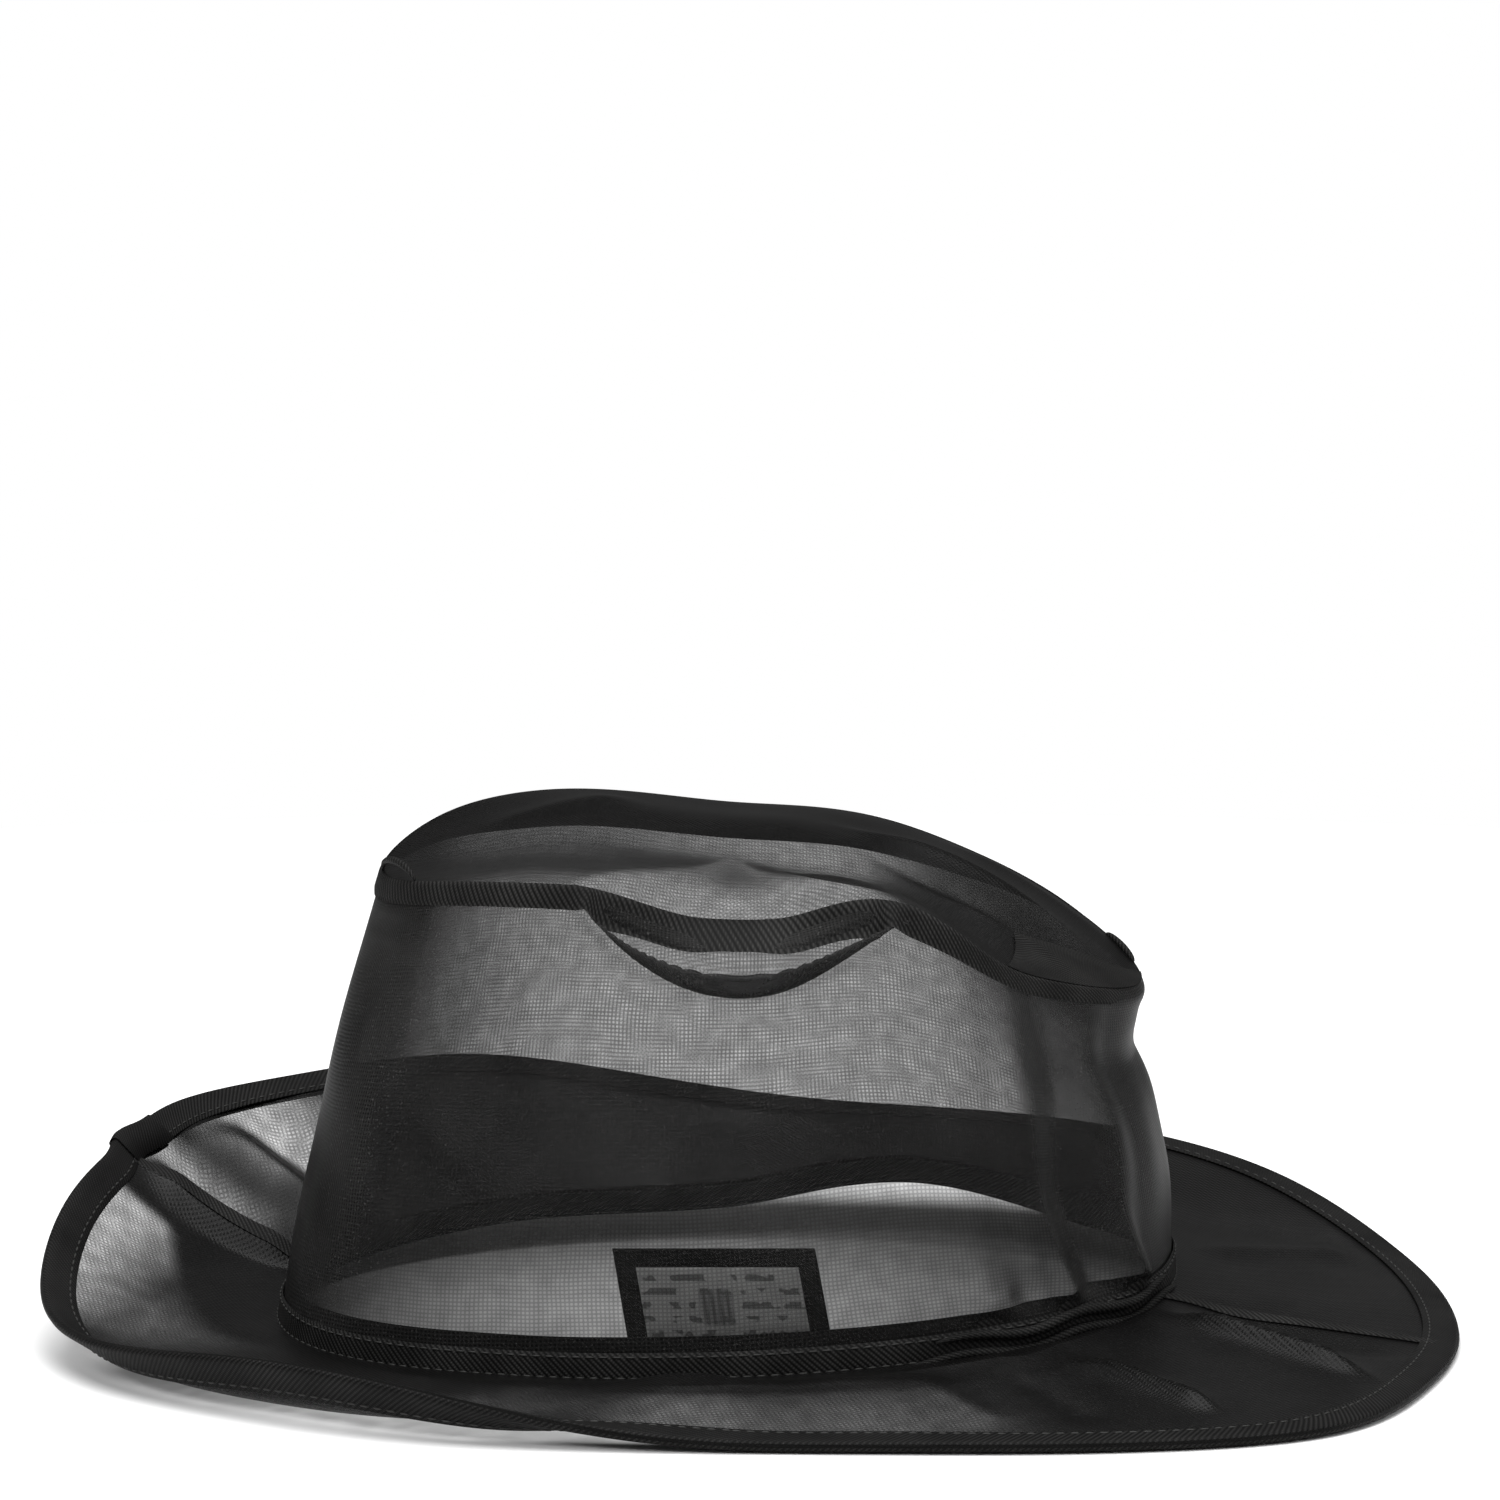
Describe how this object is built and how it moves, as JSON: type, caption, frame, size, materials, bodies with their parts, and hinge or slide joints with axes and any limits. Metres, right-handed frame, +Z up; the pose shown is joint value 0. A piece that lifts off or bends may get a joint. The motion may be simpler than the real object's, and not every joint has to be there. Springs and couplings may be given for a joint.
{
  "type": "mesh brimmed hat",
  "caption": "Soft brimmed hat of sheer black mesh with taped seams, a bound two-layer brim turned up at the back, a crown that packs flat and a sewn label inside.",
  "frame": {"origin": "on the table, under the middle of the whole hat", "axes": "+X to the front of the hat, +Y to its far side, +Z up"},
  "size_m": [0.3275, 0.2687, 0.1189],
  "materials": {
    "crown_mesh": "sheer black plain-weave mesh with a soft satin sheen",
    "tip_mesh": "sheer black mesh, satin",
    "brim_mesh": "sheer black mesh in two layers, satin",
    "binding_twill": "black twill tape, matt",
    "tape_twill": "black twill tape, matt",
    "label_border": "black woven ribbon",
    "label_field": "pale woven satin with faint grey marks",
    "boning": "flexible nylon boning"
  },
  "bodies": {
    "hat": {"crown_side_near": "crown_mesh", "crown_side_far": "crown_mesh", "base_tape": "tape_twill", "sweatband": "tape_twill", "crown_front_seam_tape": "tape_twill", "crown_back_seam_tape": "tape_twill", "brim_upper_near": "brim_mesh", "brim_upper_far": "brim_mesh", "brim_under_near": "brim_mesh", "brim_under_far": "brim_mesh", "brim_binding_near": "binding_twill", "brim_binding_far": "binding_twill", "brim_stiffener_near": "boning", "brim_stiffener_far": "boning"},
    "crown_tip": {"crown_tip": "tip_mesh", "crown_tip_tape": "tape_twill"},
    "brim_front": {"brim_upper_front_near": "brim_mesh", "brim_upper_front_far": "brim_mesh", "brim_under_front_near": "brim_mesh", "brim_under_front_far": "brim_mesh", "brim_binding_front": "binding_twill", "brim_stiffener_front": "boning", "brim_front_seam_tape": "tape_twill"},
    "brim_back": {"brim_upper_back_near": "brim_mesh", "brim_upper_back_far": "brim_mesh", "brim_under_back_near": "brim_mesh", "brim_under_back_far": "brim_mesh", "brim_binding_back": "binding_twill", "brim_stiffener_back": "boning", "brim_back_seam_tape": "tape_twill"},
    "label": {"label_border": "label_border", "label_field": "label_field"}
  },
  "joints": [
    {"name": "crown_collapse", "type": "slide", "parent": "hat", "child": "crown_tip", "axis": [0, 0, -1], "range_m": [0, 0.045]},
    {"name": "front_brim_fold", "type": "hinge", "parent": "hat", "child": "brim_front", "pos_m": [0.103, -0.002, 0.0115], "axis": [0, -0.9967, -0.0809], "range_deg": [-10, 60]},
    {"name": "back_brim_fold", "type": "hinge", "parent": "hat", "child": "brim_back", "pos_m": [-0.115, -0.002, 0.016], "axis": [0, 0.9932, 0.1162], "range_deg": [-15, 30]},
    {"name": "label_swing", "type": "hinge", "parent": "hat", "child": "label", "pos_m": [-0.005, -0.07776, 0.00663], "axis": [-1, 0, 0], "range_deg": [-12, 60]}
  ]
}
